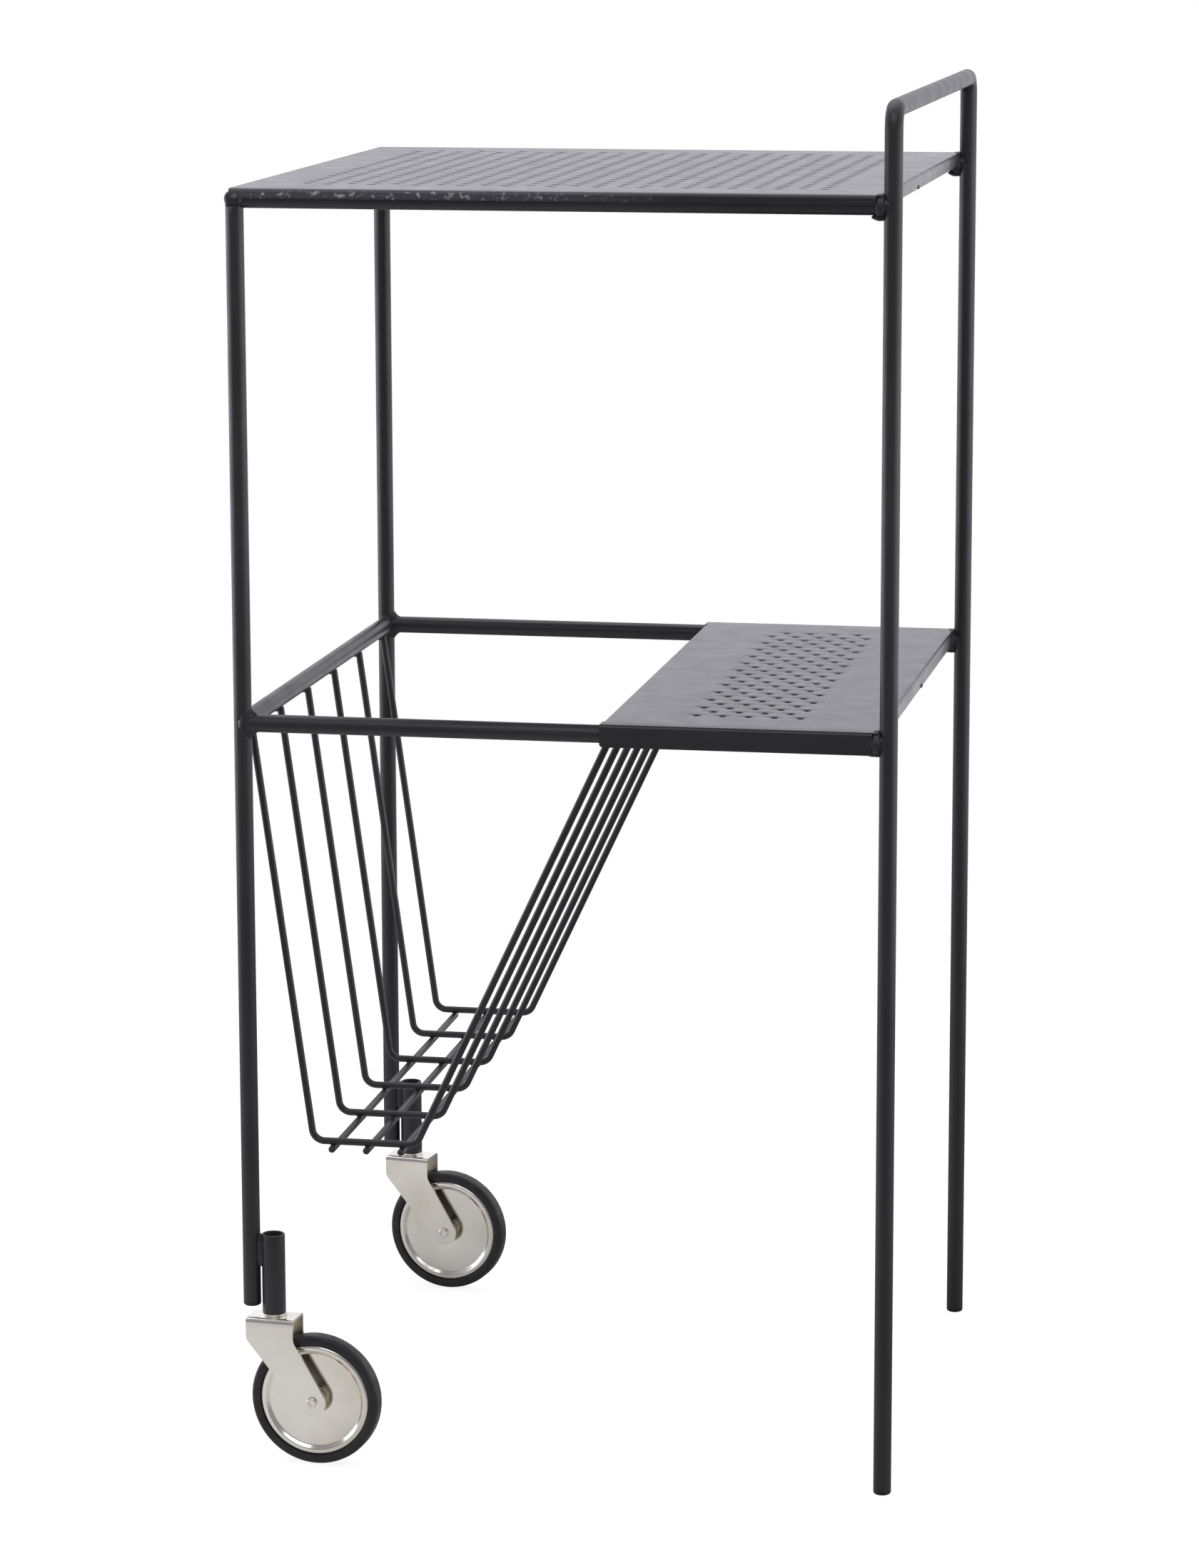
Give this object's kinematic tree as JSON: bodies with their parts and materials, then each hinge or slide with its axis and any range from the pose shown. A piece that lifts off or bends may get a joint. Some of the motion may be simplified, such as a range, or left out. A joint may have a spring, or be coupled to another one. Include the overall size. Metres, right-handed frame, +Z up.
{
  "type": "storage trolley",
  "caption": "Tube-framed storage trolley with a perforated top plate, a perforated half shelf, a slanting wire basket, a handle loop and swivel casters at one end.",
  "frame": {"origin": "on the floor, midway between the four legs", "axes": "+X from the caster side to the handle side, +Y from front to rear, +Z up"},
  "size_m": [0.37, 0.3751, 0.77],
  "materials": {
    "graphite_paint": "satin powder coat",
    "plated_steel": "bright zinc plating",
    "tyre_rubber": "matt rubber",
    "plug_plastic": "matt"
  },
  "bodies": {
    "frame": {"basket_rail_welds": "graphite_paint", "basket_runner_1": "graphite_paint", "basket_runner_2": "graphite_paint", "basket_runner_3": "graphite_paint", "basket_shelf_welds": "graphite_paint", "basket_wire_1": "graphite_paint", "basket_wire_2": "graphite_paint", "basket_wire_3": "graphite_paint", "basket_wire_4": "graphite_paint", "basket_wire_5": "graphite_paint", "basket_wire_6": "graphite_paint", "front_left_leg": "graphite_paint", "front_left_plug": "plug_plastic", "front_rail_cap": "graphite_paint", "front_right_foot": "plug_plastic", "front_socket": "graphite_paint", "front_socket_weld": "graphite_paint", "front_stem": "plated_steel", "half_shelf": "graphite_paint", "handle_loop": "graphite_paint", "middle_corner_welds": "graphite_paint", "middle_front_rail": "graphite_paint", "middle_left_rail": "graphite_paint", "middle_rear_rail": "graphite_paint", "rear_left_leg": "graphite_paint", "rear_left_plug": "plug_plastic", "rear_rail_cap": "graphite_paint", "rear_right_foot": "plug_plastic", "rear_socket": "graphite_paint", "rear_socket_weld": "graphite_paint", "rear_stem": "plated_steel", "top_corner_welds": "graphite_paint", "top_front_rail": "graphite_paint", "top_left_rail": "graphite_paint", "top_plate": "graphite_paint", "top_rear_rail": "graphite_paint"},
    "front_caster": {"front_fork": "plated_steel", "front_swivel_washer": "plated_steel", "front_axle_bolt": "plated_steel", "front_axle_nut": "plated_steel"},
    "front_wheel": {"front_wheel_hub": "plated_steel", "front_wheel_outer_disc": "plated_steel", "front_wheel_inner_disc": "plated_steel", "front_tyre": "tyre_rubber"},
    "rear_caster": {"rear_fork": "plated_steel", "rear_swivel_washer": "plated_steel", "rear_axle_bolt": "plated_steel", "rear_axle_nut": "plated_steel"},
    "rear_wheel": {"rear_wheel_hub": "plated_steel", "rear_wheel_outer_disc": "plated_steel", "rear_wheel_inner_disc": "plated_steel", "rear_tyre": "tyre_rubber"}
  },
  "joints": [
    {"name": "front_swivel", "type": "hinge", "parent": "frame", "child": "front_caster", "pos_m": [-0.1673, -0.175, 0.0845], "axis": [0, 0, 1], "continuous": true},
    {"name": "front_wheel_spin", "type": "hinge", "parent": "front_caster", "child": "front_wheel", "pos_m": [-0.14268, -0.17698, 0.0375], "axis": [0.0802, 0.9968, 0], "continuous": true},
    {"name": "rear_swivel", "type": "hinge", "parent": "frame", "child": "rear_caster", "pos_m": [-0.1673, 0.175, 0.0845], "axis": [0, 0, 1], "continuous": true},
    {"name": "rear_wheel_spin", "type": "hinge", "parent": "rear_caster", "child": "rear_wheel", "pos_m": [-0.14285, 0.17152, 0.0375], "axis": [0.1409, 0.99, 0], "continuous": true}
  ]
}
